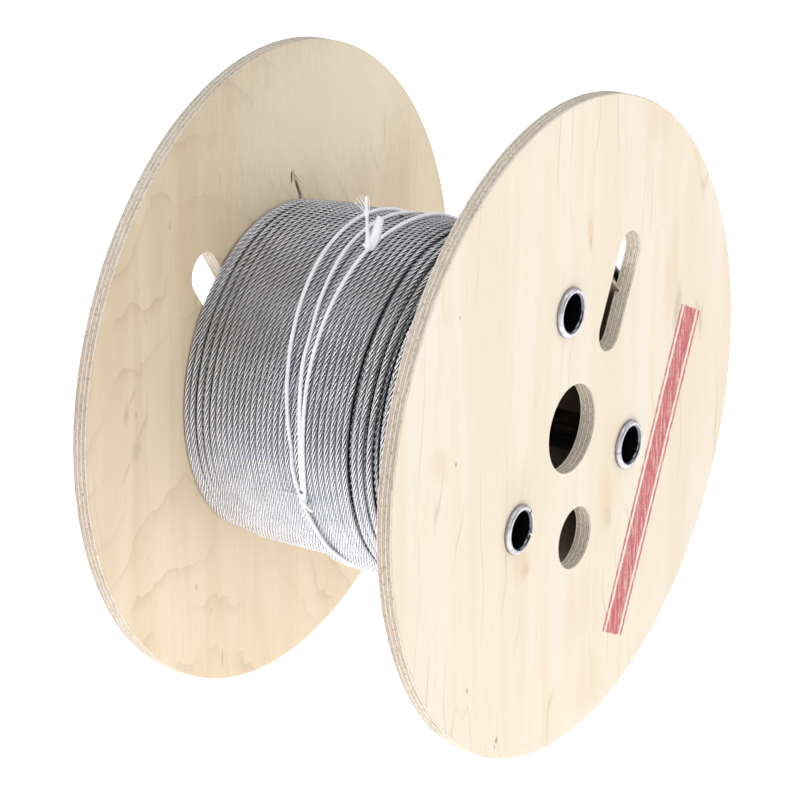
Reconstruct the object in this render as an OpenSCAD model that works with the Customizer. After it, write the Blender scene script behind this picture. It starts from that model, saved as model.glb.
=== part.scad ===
// Galvanized steel wire rope, wound in nested layers on a plywood reel.
// The reel stands on its two rims with its axis along X and the floor at z = 0.
// The near flange is the one at +X. Clock angles are read from outside the near
// flange, clockwise from straight up, so +Y is at three o'clock.

/* [Flanges] */
// Outer diameter of both plywood flanges
flange_d = 400; // [320:5:520]
// Thickness of the plywood
flange_t = 10; // [8:0.5:15]
// Clear width between the flanges
drum_w = 198; // [120:1:300]
// Small bevel on the arrises of the rims
rim_bevel = 0.6; // [0.2:0.1:1.5]
// Turn of the whole reel on its axis as it stands
reel_turn = -4; // [-180:1:180]

/* [Holes in the flanges] */
// Diameter of the arbor hole
arbor_d = 54.5; // [30:0.5:70]
// Diameter of the drive hole
drive_d = 38.5; // [16:0.5:40]
// Plywood left between the drive hole and the inside of the barrel
drive_clear = 1.2; // [0.8:0.1:12]
// Length of the finger slot, end to end
slot_len = 74; // [60:1:84]
// Width of the finger slot
slot_w = 26; // [16:0.5:32]
// How far the slot's centre lies inside the barrel's outer face
slot_inset = 6.5; // [-6:0.5:8]
// Clock angle of the slot's centre from the first tie tube
slot_clock = 42; // [38:1:60]
// Slant of the slot from the line through the first tie tube
slot_slant = 31.5; // [25:0.5:50]

/* [Barrel] */
// Outer diameter of the fibreboard barrel
barrel_od = 190; // [186:1:240]
// Wall of the barrel
barrel_wall = 2.5; // [1.5:0.1:3]
// Depth of the ring groove in each flange that holds the barrel's end
groove_depth = 3; // [1:0.5:5]
// Clearance beside the barrel's wall in its groove
groove_gap = 0.3; // [0.1:0.05:0.5]

/* [Tie tubes] */
// Outer diameter of the rolled steel tie tubes
tube_od = 24; // [16:0.5:25]
// Sheet thickness of the tie tubes
tube_wall = 1; // [0.6:0.1:1.5]
// Clearance between the tie tubes and the inside of the barrel
tube_clear = 5.5; // [3:0.1:16]
// Clearance between a tie tube and its hole in the plywood
tube_gap = 0.3; // [0.1:0.05:0.5]
// How far the rolled lips stand proud of the plywood
lip_rise = 3.2; // [2:0.1:4]
// How much the curl of a lip reaches out past the tube
lip_reach = 3.2; // [2.2:0.1:4]
// Open butt seam along each tie tube
seam_gap = 0.4; // [0.2:0.1:0.8]
// Width of the two tears in the damaged lip
tear_w = 1.2; // [0.5:0.1:2]

/* [Wire rope] */
// Diameter of the wire rope
rope_d = 4; // [3:0.1:6]
// Number of full layers of rope on the barrel
rope_layers = 3; // [1:1:8]
// Share of the top layer, above the full ones, that is wound from the near flange
top_fill = 0.57; // [0.05:0.01:1]
// Smallest gap between neighbouring turns
turn_gap = 0.24; // [0.1:0.02:0.6]
// Clearance between the rope and the barrel and flanges
rope_seat = 0.3; // [0.1:0.05:0.5]

/* [Twine] */
// Diameter of the twine tied round the winding
twine_d = 2.2; // [1.5:0.1:3]
// Clearance between the twine and the rope
twine_seat = 0.15; // [0.1:0.05:0.4]
// Diameter of the knot
knot_d = 8; // [6:0.5:12]

/* [Hidden] */
$fn = 96;

overlap = 1;                                     // how far a cutting tool runs past a face
axis_z = flange_d/2;                             // height of the reel's axis
reel_w = drum_w + 2*flange_t;                    // width over both flanges
tube_count = 3;
tube_step = 360/tube_count;
tube_hole_d = tube_od + 2*tube_gap;
tube_seams = [35, 150, 330];                     // where each tie tube's seam faces
lip_tears = [[], [], [175, 245]];                // where each tie tube's lips are torn

// The holes, slots and tie tubes keep their places beside the barrel's wall.
barrel_in_r = barrel_od/2 - barrel_wall;
drive_r = barrel_in_r - drive_clear - drive_d/2;
tube_r = barrel_in_r - tube_clear - tube_od/2;
slot_r = barrel_od/2 - slot_inset;

// Nested winding: even layers, from 0, hold all the turns, odd ones lie in their valleys.
lay_span = drum_w - 2*rope_seat - rope_d;        // first turn's centre to last turn's centre
turns = floor(lay_span/(rope_d + turn_gap)) + 1;
pitch = lay_span/(turns - 1);
layer_rise = sqrt(rope_d*rope_d - pitch*pitch/4);
wind_bore_r = barrel_od/2 + rope_seat;
function layer_r(n) = wind_bore_r + rope_d/2 + n*layer_rise;
function layer_turns(n) = turns - n % 2;
function layer_end(n) = lay_span/2 - (n % 2)*pitch/2;
layer_lap = 0.2;                                 // how far neighbouring layers are fused
wind_r = layer_r(rope_layers - 1) + rope_d/2;    // outside of the full layers
top_turns = max(1, round(top_fill*layer_turns(rope_layers)));
top_start = layer_end(rope_layers) - (top_turns - 1)*pitch;   // its first turn's centre

// Twine route: [clock angle towards -Y from the top, distance from the middle of
// the winding towards the near flange, lift of a strand that crosses over others].
knot_angle = 20;
knot_x = -8;
twine_route = [
    [knot_angle, knot_x, 0.4], [44, -9.5, 0], [67, -10.5, 0], [86, -8.5, 0], [100, -8.5, 0],
    [112, -11, 0], [150, -12, 0], [180, -13, 0], [240, -17, 0], [300, -21, 0], [350, -24, 0],
    [380, -24, 0], [395, -21.5, 0], [421, -16, 0], [446, -11.5, 0], [460, -11.5, 0],
    [472, -13.5, 0], [510, -15, 0], [540, -17, 0], [600, -24, 0], [660, -31, 0], [715, -37, 0],
    [740, -36, 0], [762, -33, 0], [778, -29, 0], [804, -23, 0], [832, -17.5, 0], [870, -18.5, 0],
    [900, -20.5, 0], [915, -19.5, 3], [975, -9.5, 3], [1000, -8, 0], [1080, -5, 0],
    [1080 + knot_angle, knot_x, 0.4]];
twine_climb = 4;                                 // width of its climb onto the top layer
twine_rings = 76;
twine_sides = 8;
tail_sides = 6;
tail_d = 0.8*twine_d;
// The two ends of the twine beyond the knot, as steps out from the knot's centre:
// [towards the near flange, up over the winding, away from the winding].
tail_up = [[0, 0, 0], [-1, 5, 6], [-3, 9, 14], [-4, 11, 20], [-5, 12, 25]];
tail_flat = [[0, 0, 0], [2, 6, 3], [5, 12, 3], [8, 18, 2.8], [11, 24, 3.5]];

// Place what is drawn with its axis on Z so that Z becomes the reel's axis X.
// A point at polar angle a then stands at clock angle a from the top.
module on_reel(turn = reel_turn) {
    translate([0, 0, axis_z]) rotate([-turn, 0, 0]) rotate([0, 90, 0]) mirror([1, 0, 0]) children();
}

// A ring of revolution: outline given as [radius, height] points.
module turned(outline) {
    rotate_extrude() polygon(outline);
}

// A slot with round ends, slanting across the flange.
module slot_cut() {
    rotate(slot_clock) translate([slot_r, 0, 0]) rotate(slot_slant - slot_clock) {
        translate([-(slot_len - slot_w)/2, -slot_w/2, -overlap])
            cube([slot_len - slot_w, slot_w, flange_t + 2*overlap]);
        for (side = [-1, 1])
            translate([side*(slot_len - slot_w)/2, 0, -overlap])
                cylinder(d = slot_w, h = flange_t + 2*overlap);
    }
}

module hole_cut(r, angle, d) {
    rotate(angle) translate([r, 0, -overlap]) cylinder(d = d, h = flange_t + 2*overlap);
}

// One flange lying on Z = 0 with its outer face up and its barrel groove below.
module flange_blank() {
    turned([[0, 0], [flange_d/2 - rim_bevel, 0], [flange_d/2, rim_bevel],
            [flange_d/2, flange_t - rim_bevel], [flange_d/2 - rim_bevel, flange_t], [0, flange_t]]);
}

module barrel_groove() {
    difference() {
        translate([0, 0, -overlap])
            cylinder(d = barrel_od + 2*groove_gap, h = groove_depth + overlap);
        translate([0, 0, -2*overlap])
            cylinder(r = barrel_in_r - groove_gap, h = groove_depth + 3*overlap);
    }
}

module flange() {
    difference() {
        flange_blank();
        barrel_groove();
        hole_cut(0, 0, arbor_d);
        hole_cut(drive_r, 180, drive_d);
        slot_cut();
        for (n = [0 : tube_count - 1]) hole_cut(tube_r, n*tube_step, tube_hole_d);
    }
}

module flange_near() {
    color("#f2e3c4") on_reel() translate([0, 0, drum_w/2]) flange();
}

// The same flange turned over about the line through its first tie tube.
module flange_far() {
    color("#dcc9a0") on_reel() rotate([180, 0, 0]) translate([0, 0, drum_w/2]) flange();
}

module barrel() {
    barrel_len = drum_w + 2*groove_depth;
    color("#b9b0a0") on_reel() difference() {
        translate([0, 0, -barrel_len/2]) cylinder(d = barrel_od, h = barrel_len);
        translate([0, 0, -barrel_len/2 - overlap])
            cylinder(r = barrel_in_r, h = barrel_len + 2*overlap);
    }
}

// Half outline of a tie tube from its middle to one end: the wall, then the sheet
// rolled out and back in a half circle, until its edge bears on the plywood.
module lip_outline() {
    curl_mid = tube_od/2 - tube_wall/2 + lip_reach/2;
    curl_r = lip_reach/2 + tube_wall/2;
    curl_z = reel_w/2 + lip_rise - curl_r;
    translate([tube_od/2 - tube_wall, 0]) square([tube_wall, curl_z]);
    translate([tube_od/2 + lip_reach - tube_wall, reel_w/2]) square([tube_wall, lip_rise - curl_r]);
    translate([curl_mid, curl_z]) intersection() {
        difference() {
            circle(r = curl_r);
            circle(r = curl_r - tube_wall);
        }
        translate([-curl_r, 0]) square([2*curl_r, curl_r]);
    }
}

module tie_tube(seam_angle, tears) {
    tube_len = reel_w + 2*lip_rise;
    lip_r = tube_od/2 + lip_reach;
    difference() {
        rotate_extrude() {
            lip_outline();
            mirror([0, 1]) lip_outline();
        }
        rotate(seam_angle) translate([0, -seam_gap/2, -tube_len/2 - overlap])
            cube([lip_r + overlap, seam_gap, tube_len + 2*overlap]);
        for (angle = tears) rotate(angle)
            translate([tube_od/2 - tube_wall/2, -tear_w/2, reel_w/2 + lip_rise/4])
                cube([lip_reach + tube_wall, tear_w, lip_rise]);
    }
}

module placed_tube(n) {
    color("#c9ccd1") on_reel() rotate((n - 1)*tube_step) translate([tube_r, 0, 0])
        tie_tube(tube_seams[n - 1], lip_tears[n - 1]);
}

module tie_tube_1() placed_tube(1);
module tie_tube_2() placed_tube(2);
module tie_tube_3() placed_tube(3);

// One layer of the winding in outline, from the turn centred at start to the layer's
// near end, filled up to the height given, with its two end turns round.
module layer_outline(n, start, high) {
    low = n == 0 ? wind_bore_r : layer_r(n) - layer_rise/2 - layer_lap;
    translate([low, start]) square([high - low, layer_end(n) - start]);
    for (end = [start, layer_end(n)]) translate([layer_r(n), end]) circle(d = rope_d);
}

module round_turns(n, first, last) {
    for (k = [first : last]) translate([layer_r(n), k*pitch - layer_end(n)]) circle(d = rope_d);
}

// The winding as one turned solid: round turns along the outside, the layers'
// round edges at both ends, the step where the top layer begins, and a plain bore.
module winding_outline() {
    outer = rope_layers - 1;
    for (n = [0 : outer])
        layer_outline(n, -layer_end(n), n == outer ? layer_r(n) : layer_r(n) + layer_rise/2);
    layer_outline(rope_layers, top_start, layer_r(rope_layers));
    translate([layer_r(outer), top_start - pitch/2])
        square([layer_rise/2, layer_end(outer) - top_start + pitch/2]);
    round_turns(outer, 1, layer_turns(outer) - 2);
    round_turns(rope_layers, layer_turns(rope_layers) - top_turns, layer_turns(rope_layers) - 2);
}

module wire_rope() {
    color("#a9adb3") on_reel() rotate_extrude() winding_outline();
}

// A smooth value between the route's own points.
function ease(f) = f*f*(3 - 2*f);
function leg(a, n = 0) = n >= len(twine_route) - 2 || a < twine_route[n + 1][0] ? n : leg(a, n + 1);
function route_at(a) =
    let (n = leg(a), p = twine_route[n], q = twine_route[n + 1],
         f = ease(max(0, min(1, (a - p[0])/(q[0] - p[0])))))
    p + f*(q - p);

// What the twine rests on: it climbs from the full layers onto the top layer just
// before that layer's first turn.
climb_end = top_start - rope_d/2 - twine_seat - twine_d/2;
function rest_r(x) =
    wind_r + layer_rise*ease(max(0, min(1, 1 + (x - climb_end)/twine_climb)));

// Rings are set out far enough that the chords between them clear the rope.
ring_step = (twine_route[len(twine_route) - 1][0] - twine_route[0][0])/(twine_rings - 1);
function round_wind(a, r, x) = [x, -r*sin(a), axis_z + r*cos(a)];
function wrap_point(n) =
    let (a = knot_angle + n*ring_step, p = route_at(a),
         r = (rest_r(p[1]) + twine_seat + twine_d/2)/cos(ring_step/2))
    round_wind(a, r + p[2], p[1]);

// Tube of straight stretches through a list of points, closed at both ends.
function unit(v) = v/norm(v);
function along(path, n) = unit(path[min(n + 1, len(path) - 1)] - path[max(n - 1, 0)]);
function ring_at(path, n, d, sides) =
    let (t = along(path, n), u = unit(cross(t, [1, 0.1, 0.2])), v = cross(t, u))
    [for (k = [0 : sides - 1]) path[n] + d/2*(u*cos(360*k/sides) + v*sin(360*k/sides))];
module swept(path, d, sides) {
    last = len(path) - 1;
    points = [for (n = [0 : last]) each ring_at(path, n, d, sides)];
    walls = [for (n = [0 : last - 1], k = [0 : sides - 1])
        let (next = (k + 1) % sides)
        each [[n*sides + k, (n + 1)*sides + next, n*sides + next],
              [n*sides + k, (n + 1)*sides + k, (n + 1)*sides + next]]];
    foot = [for (k = [0 : sides - 1]) k];
    head = [for (k = [sides - 1 : -1 : 0]) last*sides + k];
    polyhedron(points = points, faces = concat(walls, [foot, head]));
}

// The knot's place, and a point given as a step out from it.
knot_r = rest_r(knot_x) + twine_seat + knot_d/2;
function from_knot(step) =
    let (a = knot_angle - asin(step[1]/knot_r)) round_wind(a, knot_r + step[2], knot_x + step[0]);

module twine() {
    color("#f1f0ea") union() {
        swept([for (n = [0 : twine_rings - 1]) wrap_point(n)], twine_d, twine_sides);
        translate(round_wind(knot_angle, knot_r, knot_x)) sphere(d = knot_d, $fn = 20);
        for (tail = [tail_up, tail_flat])
            swept([for (step = tail) from_knot(step)], tail_d, tail_sides);
    }
}

flange_near();
flange_far();
barrel();
tie_tube_1();
tie_tube_2();
tie_tube_3();
wire_rope();
twine();
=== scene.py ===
# %% [markdown]
# # Galvanized wire rope on a plywood reel
#
# The real thing is a thin steel rope, wound in three full nested layers and part of a
# fourth on a fibreboard barrel between two plywood discs. Three rolled steel tubes tie
# the discs together, and white twine keeps the winding from springing open.
# The discs, the barrel and the tubes are already right as solids, so they stay and
# get their finishes here. The winding and the twine are only plain solids so far:
# they are built again as twisted strands.

import math

import bpy
import numpy as np
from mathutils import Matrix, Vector


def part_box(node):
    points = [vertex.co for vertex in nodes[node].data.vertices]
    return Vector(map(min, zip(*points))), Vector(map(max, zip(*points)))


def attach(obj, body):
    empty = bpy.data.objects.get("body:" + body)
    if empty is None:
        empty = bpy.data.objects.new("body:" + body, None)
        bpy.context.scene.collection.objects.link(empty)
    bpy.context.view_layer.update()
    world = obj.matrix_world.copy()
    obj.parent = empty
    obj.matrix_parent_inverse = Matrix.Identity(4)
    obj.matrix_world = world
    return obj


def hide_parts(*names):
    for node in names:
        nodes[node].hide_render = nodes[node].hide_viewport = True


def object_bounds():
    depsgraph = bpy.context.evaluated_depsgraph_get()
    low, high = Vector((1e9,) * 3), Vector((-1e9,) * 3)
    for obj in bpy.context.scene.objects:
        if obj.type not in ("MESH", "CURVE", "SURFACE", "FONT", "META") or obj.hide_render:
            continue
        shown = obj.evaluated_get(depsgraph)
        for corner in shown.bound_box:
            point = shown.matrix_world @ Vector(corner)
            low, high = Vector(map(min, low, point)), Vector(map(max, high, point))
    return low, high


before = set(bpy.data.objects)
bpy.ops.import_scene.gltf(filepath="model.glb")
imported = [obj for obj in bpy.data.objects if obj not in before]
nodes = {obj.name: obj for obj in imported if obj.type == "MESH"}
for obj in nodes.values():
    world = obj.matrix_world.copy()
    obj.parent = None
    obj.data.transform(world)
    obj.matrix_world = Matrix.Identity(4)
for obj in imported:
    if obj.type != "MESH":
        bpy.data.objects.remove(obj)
cad_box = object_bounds()
MM = 0.001
AXIS_Z = (cad_box[0].z + cad_box[1].z)/2
print("nodes:", ", ".join(sorted(nodes)))
print("size in mm:", [round((b - a)/MM, 1) for a, b in zip(*cad_box)])

# %% [markdown]
# ## Camera
#
# A product picture is taken from far away with a long lens, so that the two discs
# look almost equally large. The camera is set by what it looks at, its two angles
# and its distance, because those are the numbers a studio would write down. It
# looks down, so the floor fills the whole background.

# %% Camera
CAMERA_AIM = Vector((-0.0071, -0.0061, 0.1959))
CAMERA_AZIMUTH = 32.16
CAMERA_ELEVATION = 21.52
CAMERA_DISTANCE = 2.532
CAMERA_LENS = 189
SENSOR_WIDTH = 36
CLIP_NEAR, CLIP_FAR = 0.05, 100


def direction_from(azimuth, elevation):
    """Unit vector from the object towards a place at these angles, in degrees: azimuth 0
    is the side of the rope's front, 90 the outer face of the near disc."""
    a, e = math.radians(azimuth), math.radians(elevation)
    return Vector((math.sin(a)*math.cos(e), -math.cos(a)*math.cos(e), math.sin(e)))


def aimed(obj, place, target):
    """Puts a camera or lamp at a place, looking at the target."""
    obj.location = place
    obj.rotation_euler = (Vector(target) - Vector(place)).to_track_quat("-Z", "Y").to_euler()
    return obj


camera_back = direction_from(CAMERA_AZIMUTH, CAMERA_ELEVATION)
bpy.ops.object.camera_add()
camera = aimed(bpy.context.object, CAMERA_AIM + camera_back*CAMERA_DISTANCE, CAMERA_AIM)
camera.data.lens = CAMERA_LENS
camera.data.sensor_width = SENSOR_WIDTH
camera.data.clip_start, camera.data.clip_end = CLIP_NEAR, CLIP_FAR
bpy.context.scene.camera = camera
print("camera at", [round(v, 3) for v in camera.location])

# %% [markdown]
# ## Helpers for shaders
#
# Every finish below is a graph of nodes, and small helpers keep the graphs short: one
# adds a node with its settings and inputs, the others add one sum, mix or noise and
# give back its output. Lengths in a pattern are metres, as on the reel.

# %% Shader helpers
def fill_sockets(tree, made, values):
    """Sets a node's inputs: a plain value stays one, another node's output is linked."""
    for name, value in values.items():
        if isinstance(value, bpy.types.NodeSocket):
            tree.links.new(value, made.inputs[name])
        else:
            made.inputs[name].default_value = value
    return made


def add_node(tree, kind, inputs=None, **settings):
    """Adds a shader node with its settings and inputs."""
    made = tree.nodes.new("ShaderNode" + kind)
    for name, value in settings.items():
        setattr(made, name, value)
    return fill_sockets(tree, made, inputs or {})


def calc(tree, operation, *values, clamp=False):
    """One Math node, as a socket."""
    return add_node(tree, "Math", dict(enumerate(values)), operation=operation,
                    use_clamp=clamp).outputs[0]


def product(tree, *values):
    """All the values multiplied."""
    made = values[0]
    for value in values[1:]:
        made = calc(tree, "MULTIPLY", made, value)
    return made


def split(tree, vector):
    """The x, y and z of a vector, as three sockets."""
    return add_node(tree, "SeparateXYZ", {0: vector}).outputs


def remap(tree, value, low, high, to_low=0.0, to_high=1.0):
    """Maps a range of one value to another, softly and clamped."""
    return add_node(tree, "MapRange", {0: value, 1: low, 2: high, 3: to_low, 4: to_high},
                    interpolation_type="SMOOTHSTEP").outputs[0]


def between(tree, factor, first, second):
    """A plain value between two, as a socket."""
    return add_node(tree, "Mix", {0: factor, 2: first, 3: second}).outputs[0]


def off_middle(tree, value):
    """How far a repeating value is from the middle of its step: 0 to 0.5."""
    return calc(tree, "ABSOLUTE", calc(tree, "SUBTRACT", calc(tree, "FRACT", value), 0.5))


def noise(tree, place, per_metre, detail=3.0, roughness=0.55, distortion=0.0):
    """Soft noise from 0 to 1: so many cells per metre along x, y and z."""
    stretched = add_node(tree, "Mapping", {"Vector": place, "Scale": per_metre}).outputs[0]
    return add_node(tree, "TexNoise", {"Vector": stretched, "Scale": 1.0, "Detail": detail,
                                       "Roughness": roughness, "Distortion": distortion}
                    ).outputs[0]


print("shader helpers ready")

# %% [markdown]
# Two helpers are about places: how far a point is from the reel's axis, and where it
# lies in a little frame of its own, as a stain or a printed bar does. Two are about
# colours: the last one lays a stain over what is below it.

# %% Place and colour helpers
def from_reel_axis(tree, place):
    """Distance of a point from the reel's axis."""
    _, y, z = split(tree, place)
    up = calc(tree, "SUBTRACT", z, AXIS_Z)
    return calc(tree, "SQRT", calc(tree, "MULTIPLY_ADD", y, y, product(tree, up, up)))


def distance(tree, first, second):
    """Distance between two places, as a socket."""
    return add_node(tree, "VectorMath", {0: first, 1: second},
                    operation="DISTANCE").outputs["Value"]


def leaned(tree, place, centre, lean):
    """A place counted from a centre, with its axes leaning round X, in radians."""
    away = add_node(tree, "VectorMath", {0: place, 1: centre}, operation="SUBTRACT").outputs[0]
    return add_node(tree, "VectorRotate", {"Vector": away, "Angle": lean},
                    rotation_type="X_AXIS").outputs[0]


def opaque(colour):
    """A plain colour gets its alpha, a socket stays as it is."""
    return colour if isinstance(colour, bpy.types.NodeSocket) else (*colour, 1)


def mixed(tree, factor, first, second):
    """Colour mix, as a socket."""
    return add_node(tree, "Mix", {0: factor, 6: opaque(first), 7: opaque(second)},
                    data_type="RGBA").outputs[2]


def tinted(tree, base, colour, mask, strength):
    """Lays a colour over the base where the mask is white."""
    return mixed(tree, product(tree, mask, strength), base, colour)


print("place and colour helpers ready")

# %% [markdown]
# A finish that several materials share becomes a node group with named sockets. Each
# material itself is one Principled shader, whose colour and bump come last.

# %% Group and material helpers
def new_group(name, inputs, outputs):
    """A node group with named sockets: (tree, its input sockets, its output node)."""
    tree = bpy.data.node_groups.new(name, "ShaderNodeTree")
    for side, sockets in (("INPUT", inputs), ("OUTPUT", outputs)):
        for label, kind in sockets.items():
            tree.interface.new_socket(name=label, in_out=side, socket_type="NodeSocket" + kind)
    start, end = tree.nodes.new("NodeGroupInput"), tree.nodes.new("NodeGroupOutput")
    return tree, start.outputs, end


def use_group(tree, name, inputs):
    """Places a node group in a material with its own values."""
    made = tree.nodes.new("ShaderNodeGroup")
    made.node_tree = bpy.data.node_groups[name]
    return fill_sockets(tree, made, inputs).outputs


def new_material(name, **plain):
    """A material with one Principled BSDF: (material, tree, shader)."""
    material = bpy.data.materials.new(name)
    material.use_nodes = True
    tree = material.node_tree
    shader = tree.nodes["Principled BSDF"]
    for label, value in plain.items():
        shader.inputs[label.replace("_", " ")].default_value = value
    return material, tree, shader


def object_place(tree):
    """Where a point is on the reel, in metres."""
    return add_node(tree, "TexCoord").outputs["Object"]


def colour_and_bump(tree, shader, colour, height, strength, depth):
    """Joins a finish's colour, and its raised pattern of this depth, to the shader."""
    bump = add_node(tree, "Bump", {"Strength": strength, "Distance": depth, "Height": height})
    fill_sockets(tree, shader, {"Base Color": colour, "Normal": bump.outputs[0]})


def dress(obj, material):
    """Gives a whole piece one material."""
    obj.data.materials.clear()
    obj.data.materials.append(material)


print("group and material helpers ready")

# %% [markdown]
# ## Studio
#
# The reel is lit like a catalogue shot: a pale floor that burns out to white, and five
# large soft lamps. The key lamp stands behind on the right, one hangs high beside the
# near disc, one on the left draws the strands of the rope, a weak one behind on the left
# lifts the rims, and one near the camera fills the discs. The bright floor is a light of
# its own: it whitens the underside of the winding. The world is a plain dim grey,
# because steel needs something dark to reflect.

# %% Floor
FLOOR_SIZE = 24
FLOOR_BELOW = 0.4*MM
FLOOR_GLOW = 1.05


def make_floor():
    bpy.ops.object.select_all(action="DESELECT")
    bpy.ops.mesh.primitive_plane_add(size=FLOOR_SIZE, location=(0, 0, -FLOOR_BELOW))
    floor = bpy.context.object
    floor.name = "studio_floor"
    dress(floor, new_material("studio_floor", Base_Color=(0.9, 0.9, 0.9, 1), Roughness=0.8,
                              Emission_Color=(1, 1, 1, 1), Emission_Strength=FLOOR_GLOW)[0])
    return floor


print("floor:", make_floor().name)

# %% Lamps and world
# name: (azimuth, elevation, distance, size, power), in degrees, metres and watts
LAMPS = {"key_lamp": (138, 32, 3.2, 1.6, 19), "top_lamp": (85, 66, 3.0, 1.6, 25),
         "left_lamp": (-40, 30, 2.6, 1.0, 22), "back_lamp": (-138, 42, 2.6, 1.2, 7),
         "front_lamp": (42, 26, 3.2, 1.6, 19)}
WORLD_GREY = (0.95, 0.97, 1.0, 1)
WORLD_STRENGTH = 0.10


def add_lamp(name, azimuth, elevation, far, size, power):
    bpy.ops.object.light_add(type="AREA")
    lamp = bpy.context.object
    lamp.name = name
    lamp.data.shape = "SQUARE"
    lamp.data.size = size
    lamp.data.energy = power
    centre = Vector((0, 0, AXIS_Z))
    return aimed(lamp, centre + direction_from(azimuth, elevation)*far, centre)


for name, row in LAMPS.items():
    add_lamp(name, *row)
bpy.context.scene.view_settings.view_transform = "Standard"
world = bpy.data.worlds.new("studio_world")
bpy.context.scene.world = world
world.use_nodes = True
background = world.node_tree.nodes["Background"].inputs
background[0].default_value = WORLD_GREY
background[1].default_value = WORLD_STRENGTH
print("studio:", len(LAMPS), "lamps, grey world")

# %% [markdown]
# ## Wood grain as node groups
#
# Both discs are cut from the same birch plywood, so their grain is one node group:
# the pattern is noise stretched along Z, the way the face veneer runs. A second group
# draws the arches of flat-sawn wood, a third one soft oval spot for stains and knots.

# %% Grain group
RINGS_PER_METRE, RING_WAVER = 130.0, 20.0


def make_grain_group():
    tree, given, end = new_group("veneer_grain", {"Vector": "Vector", "Seed": "Float"},
                                 {"Streaks": "Float", "Bands": "Float", "Hairs": "Float",
                                  "Mottle": "Float", "Ticks": "Float"})
    shift = add_node(tree, "CombineXYZ", {0: 0.0, 1: given["Seed"], 2: given["Seed"]})
    place = add_node(tree, "VectorMath", {0: given["Vector"], 1: shift.outputs[0]},
                     operation="ADD").outputs[0]
    # Hairs are year rings cut almost along: long thin wavy lines that come and go.
    warp = noise(tree, place, (0, 12, 2.5), 3, 0.55)
    ring = calc(tree, "MULTIPLY_ADD", warp, RING_WAVER,
                product(tree, split(tree, place)[1], RINGS_PER_METRE))
    wave = calc(tree, "ABSOLUTE", calc(tree, "SINE", ring))
    patches = noise(tree, place, (0, 21, 9), 2, 0.5)
    # Ticks are short dark pores where the veneer was cut through a vessel.
    ticks = noise(tree, place, (0, 640, 80), 1, 0.5)
    fill_sockets(tree, end, {
        "Streaks": noise(tree, place, (0, 900, 22), 4, 0.6, 0.3),
        "Bands": noise(tree, place, (0, 34, 3.0), 3, 0.55, 0.8),
        "Mottle": noise(tree, place, (0, 14, 8), 4, 0.6),
        "Hairs": product(tree, remap(tree, wave, 0.0, 0.16, 1.0, 0.0),
                         remap(tree, patches, 0.46, 0.66)),
        "Ticks": remap(tree, ticks, 0.76, 0.84)})


make_grain_group()
print("group: veneer_grain")

# %% Arch and spot groups
ARCHES_PER_METRE, ARCH_BEND, ARCH_WAVER = 27.0, 4.8, 0.075


def make_arch_group():
    """Flat-sawn figure: nested arches of year rings, open downwards, above each other."""
    tree, given, end = new_group("veneer_arches", {"Vector": "Vector", "Middle": "Float"},
                                 {"Arches": "Float"})
    _, y, z = split(tree, given["Vector"])
    sideways = calc(tree, "ABSOLUTE", calc(tree, "SUBTRACT", y, given["Middle"]))
    bend = product(tree, calc(tree, "POWER", sideways, 2.0), ARCH_BEND)
    waver = noise(tree, given["Vector"], (0, 19, 15), 3, 0.55)
    height = calc(tree, "ADD", calc(tree, "ADD", z, bend), product(tree, waver, ARCH_WAVER))
    # Each ring fades in slowly and ends sharply, as late wood does.
    line = calc(tree, "POWER", calc(tree, "FRACT", product(tree, height, ARCHES_PER_METRE)), 5.0)
    patches = noise(tree, given["Vector"], (0, 16, 12), 2, 0.5)
    fill_sockets(tree, end, {"Arches": product(tree, line, remap(tree, patches, 0.42, 0.62))})


def make_spot_group():
    """A soft oval mask on a disc's face: where it is, how it leans, how far it reaches."""
    tree, given, end = new_group(
        "soft_spot", {"Vector": "Vector", "Centre": "Vector", "Lean": "Float", "Reach": "Vector",
                      "Soft": "Float"}, {"Mask": "Float"})
    turned = leaned(tree, given["Vector"], given["Centre"], given["Lean"])
    _, y, z = split(tree, add_node(tree, "VectorMath", {0: turned, 1: given["Reach"]},
                                   operation="DIVIDE").outputs[0])
    wobble = noise(tree, given["Vector"], (0, 260, 120), 3, 0.6)
    far = calc(tree, "SQRT", calc(tree, "ADD", calc(tree, "POWER", y, 2.0),
                                  calc(tree, "POWER", z, 2.0)))
    far = calc(tree, "MULTIPLY_ADD", calc(tree, "SUBTRACT", wobble, 0.5), 0.5, far)
    rim = calc(tree, "SUBTRACT", 1.0, given["Soft"])
    fill_sockets(tree, end, {"Mask": remap(tree, far, rim, 1.0, 1.0, 0.0)})


make_arch_group()
make_spot_group()
print("groups: veneer_arches, soft_spot")

# %% [markdown]
# On the cut edges the plies show as stripes across the thickness. They are counted
# along X, from the inner face of each disc outwards, so they follow every rim and
# hole. Between two plies lies a dark glue line, which the cutter tore open in places.

# %% Ply edge group
DISC_INSIDE = abs(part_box("flange_near")[0].x)
DISC_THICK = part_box("flange_near")[1].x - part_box("flange_near")[0].x
PLIES = 7
RIM_FROM, RIM_FULL = 185*MM, 195*MM
# What makes a ply darker: lying across the grain, its fibres and its clouds
ODD_PLY, FIBRE_SHARE, CLOUD_SHARE, TONE_DROP = 0.46, 1.2, 0.8, 0.92


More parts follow.
